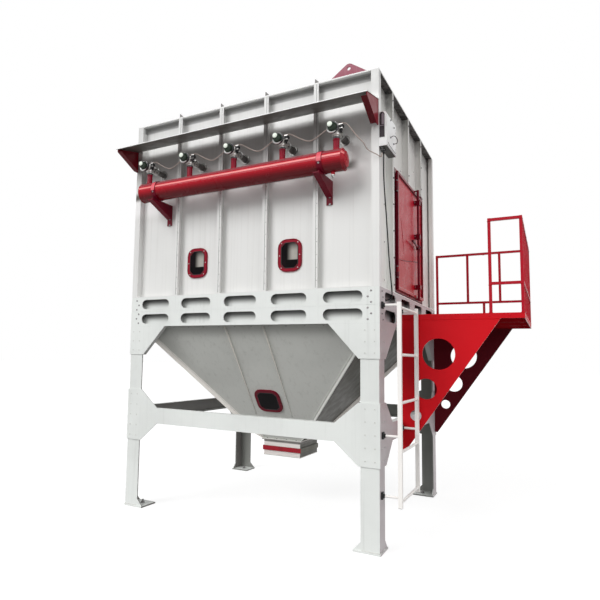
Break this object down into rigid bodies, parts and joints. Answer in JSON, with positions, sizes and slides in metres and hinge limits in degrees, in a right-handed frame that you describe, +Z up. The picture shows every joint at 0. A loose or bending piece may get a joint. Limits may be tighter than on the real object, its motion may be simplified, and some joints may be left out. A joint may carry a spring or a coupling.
{
  "type": "baghouse dust collector",
  "caption": "Pulse-jet baghouse dust collector: ribbed square housing over a pyramid hopper on braced legs, with an air header, service door, railed platform and ladder.",
  "frame": {"origin": "middle of the whole machine's bounding box in plan, on the floor under the feet", "axes": "+Z up; +X to the right along the long face with the valves, towards the platform; -Y out of that face"},
  "size_m": [3.88, 2.9004, 4.3953],
  "materials": {
    "frame_paint": "satin light grey paint",
    "housing_paint": "satin warm light grey paint",
    "hopper_paint": "satin grey paint",
    "red_paint": "semi-gloss red paint",
    "cream_paint": "satin cream paint",
    "box_paint": "satin light grey paint",
    "valve_metal": "cast and satin",
    "cable_grey": "matte sheath",
    "cable_black": "matte sheath"
  },
  "bodies": {
    "frame": {"leg_front_left": "frame_paint", "leg_front_right": "frame_paint", "leg_back_left": "frame_paint", "leg_back_right": "frame_paint", "corner_gusset_front_left": "frame_paint", "corner_gusset_front_right": "frame_paint", "corner_gusset_back_left": "frame_paint", "corner_gusset_back_right": "frame_paint", "cross_beam_front": "frame_paint", "cross_beam_back": "frame_paint", "cross_beam_left": "frame_paint", "cross_beam_right": "frame_paint", "ring_beam_front": "frame_paint", "ring_beam_back": "frame_paint", "ring_beam_left": "frame_paint", "ring_beam_right": "frame_paint", "wall_front": "housing_paint", "wall_back": "housing_paint", "wall_left": "housing_paint", "wall_right": "housing_paint", "roof": "housing_paint", "lifting_lug_front": "red_paint", "lifting_lug_back": "red_paint", "hopper": "hopper_paint", "outlet_spout": "hopper_paint", "outlet_band": "red_paint", "port_front_left": "red_paint", "port_front_right": "red_paint", "port_hopper": "red_paint", "header_tank": "red_paint", "tank_bracket_left": "red_paint", "tank_bracket_right": "red_paint", "pulse_valve_1": "valve_metal", "pulse_valve_2": "valve_metal", "pulse_valve_3": "valve_metal", "pulse_valve_4": "valve_metal", "pulse_valve_5": "valve_metal", "rain_hood": "housing_paint", "hood_arm_left": "red_paint", "hood_arm_right": "red_paint", "control_box": "box_paint", "door_frame": "red_paint", "platform_plate_front": "red_paint", "platform_plate_back": "red_paint", "platform_deck": "red_paint", "rail_front": "red_paint", "rail_outer": "red_paint", "rail_back": "red_paint", "ladder": "cream_paint", "signal_cable": "cable_grey", "supply_cable": "cable_black"},
    "door": {"access_door": "red_paint"},
    "lock": {"lock_bar": "red_paint"}
  },
  "joints": [
    {"name": "door_hinge", "type": "hinge", "parent": "frame", "child": "door", "pos_m": [0.8743, -0.51185, 2.91], "axis": [0, 0, -1], "range_deg": [0, 50]},
    {"name": "lock_turn", "type": "hinge", "parent": "door", "child": "lock", "pos_m": [0.9003, 0.32015, 2.86], "axis": [0, 0, 1], "range_deg": [0, 90]}
  ]
}
